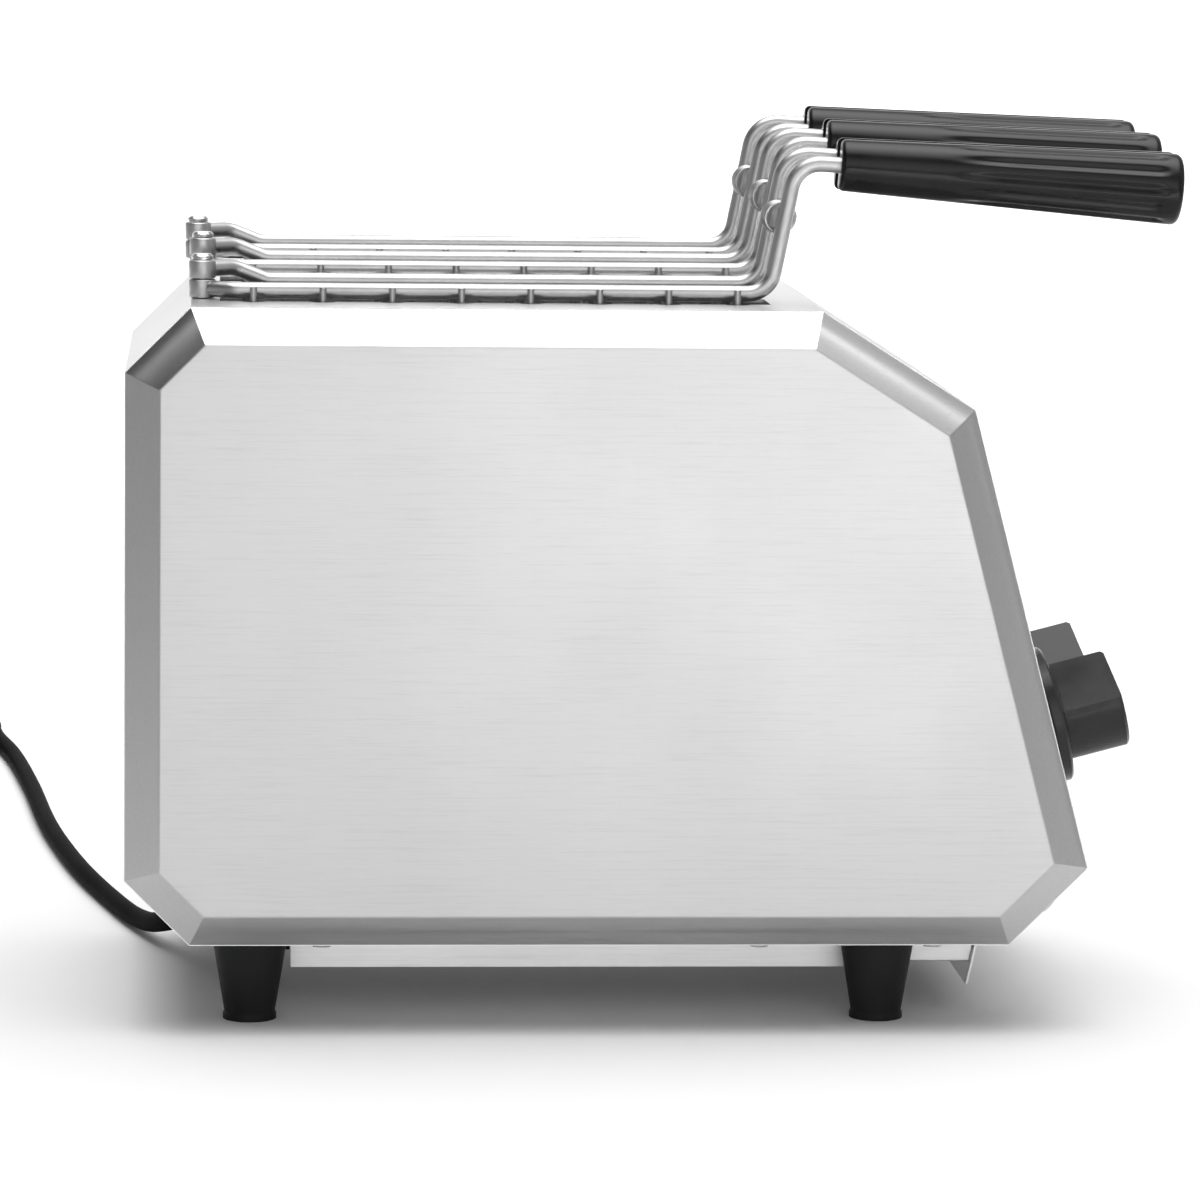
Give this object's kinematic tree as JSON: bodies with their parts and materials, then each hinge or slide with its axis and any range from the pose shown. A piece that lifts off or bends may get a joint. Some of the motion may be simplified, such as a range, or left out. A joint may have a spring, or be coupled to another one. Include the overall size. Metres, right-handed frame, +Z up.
{
  "type": "sandwich toaster",
  "caption": "Countertop steel slot toaster with hinged wire sandwich tongs standing in its slots, split handles, control knobs on a sloped front, crumb tray and mains cord.",
  "frame": {"origin": "on the table under the middle of the object's bounding box, cord and plug left out", "axes": "+X towards the front with the knobs and handles, +Y across the slots away from the plain side that the picture shows, +Z up"},
  "size_m": [0.6304, 0.7903, 0.3373],
  "materials": {
    "casing_steel": "satin brushed along the length",
    "inner_steel": "mill finish",
    "mirror_steel": "polished",
    "chrome_wire": "bright plated",
    "black_moulding": "glossy black",
    "black_rubber": "matt black",
    "quartz": "milky glass",
    "white_ceramic": "matt",
    "control_body": "matt",
    "shaft_steel": "turned",
    "lamp_lens": "clear orange",
    "pin_metal": "bright plated"
  },
  "bodies": {
    "casing": {"side_panel_near": "casing_steel", "side_panel_far": "casing_steel", "top_cover": "casing_steel", "front_panel": "casing_steel", "rear_panel": "casing_steel", "base_plate": "inner_steel", "tray_housing": "inner_steel", "feet": "black_rubber", "front_bulkhead": "inner_steel", "rear_bulkhead": "inner_steel", "reflector_near": "mirror_steel", "reflector_far": "mirror_steel", "guard_grids": "chrome_wire", "tubes_near": "quartz", "tubes_mid_near": "quartz", "tubes_mid_far": "quartz", "tubes_far": "quartz", "tube_caps_front": "white_ceramic", "tube_caps_rear": "white_ceramic", "timer_body": "control_body", "switch_body": "control_body", "pilot_lamp": "lamp_lens", "terminal_block": "white_ceramic", "base_screws": "mirror_steel", "front_screws": "mirror_steel", "cord_boot": "black_rubber", "cord": "black_rubber", "cord_coil": "black_rubber", "plug_body": "black_rubber", "plug_pins": "pin_metal"},
    "tray": {"crumb_tray": "inner_steel"},
    "timer": {"timer_shaft": "shaft_steel", "timer_knob": "black_moulding"},
    "selector": {"switch_shaft": "shaft_steel", "switch_knob": "black_moulding"},
    "tong_near": {"tong_near_frame": "chrome_wire", "tong_near_cage": "chrome_wire", "tong_near_grip": "black_moulding", "tong_near_pin": "chrome_wire", "tong_near_spring": "chrome_wire"},
    "tong_near_arm": {"tong_near_arm": "chrome_wire", "tong_near_arm_cage": "chrome_wire", "tong_near_arm_grip": "black_moulding"},
    "tong_mid": {"tong_mid_frame": "chrome_wire", "tong_mid_cage": "chrome_wire", "tong_mid_grip": "black_moulding", "tong_mid_pin": "chrome_wire", "tong_mid_spring": "chrome_wire"},
    "tong_mid_arm": {"tong_mid_arm": "chrome_wire", "tong_mid_arm_cage": "chrome_wire", "tong_mid_arm_grip": "black_moulding"},
    "tong_far": {"tong_far_frame": "chrome_wire", "tong_far_cage": "chrome_wire", "tong_far_grip": "black_moulding", "tong_far_pin": "chrome_wire", "tong_far_spring": "chrome_wire"},
    "tong_far_arm": {"tong_far_arm": "chrome_wire", "tong_far_arm_cage": "chrome_wire", "tong_far_arm_grip": "black_moulding"}
  },
  "joints": [
    {"name": "tray_slide", "type": "slide", "parent": "casing", "child": "tray", "axis": [1, 0, 0], "range_m": [0, 0.24]},
    {"name": "timer_turn", "type": "hinge", "parent": "casing", "child": "timer", "pos_m": [0.14825, -0.042, 0.11], "axis": [-0.9664, 0, -0.2571], "range_deg": [0, 300]},
    {"name": "selector_turn", "type": "hinge", "parent": "casing", "child": "selector", "pos_m": [0.14825, 0.042, 0.11], "axis": [-0.9664, 0, -0.2571], "range_deg": [0, 270]},
    {"name": "tong_near_lift", "type": "slide", "parent": "casing", "child": "tong_near", "axis": [0, 0, 1], "range_m": [0, 0.17]},
    {"name": "tong_near_squeeze", "type": "hinge", "parent": "tong_near", "child": "tong_near_arm", "pos_m": [-0.16821, -0.05, 0.2788], "axis": [0, 0, -1], "range_deg": [0, 1.4], "stiffness_Nm_per_rad": 60, "springref_deg": -0.57, "deforming": ["tong_near_spring"]},
    {"name": "tong_mid_lift", "type": "slide", "parent": "casing", "child": "tong_mid", "axis": [0, 0, 1], "range_m": [0, 0.17]},
    {"name": "tong_mid_squeeze", "type": "hinge", "parent": "tong_mid", "child": "tong_mid_arm", "pos_m": [-0.16821, 0, 0.2838], "axis": [0, 0, -1], "range_deg": [0, 1.4], "stiffness_Nm_per_rad": 60, "springref_deg": -0.57, "deforming": ["tong_mid_spring"]},
    {"name": "tong_far_lift", "type": "slide", "parent": "casing", "child": "tong_far", "axis": [0, 0, 1], "range_m": [0, 0.17]},
    {"name": "tong_far_squeeze", "type": "hinge", "parent": "tong_far", "child": "tong_far_arm", "pos_m": [-0.17021, 0.05, 0.2866], "axis": [0, 0, -1], "range_deg": [0, 1.4], "stiffness_Nm_per_rad": 60, "springref_deg": -0.57, "deforming": ["tong_far_spring"]}
  ]
}
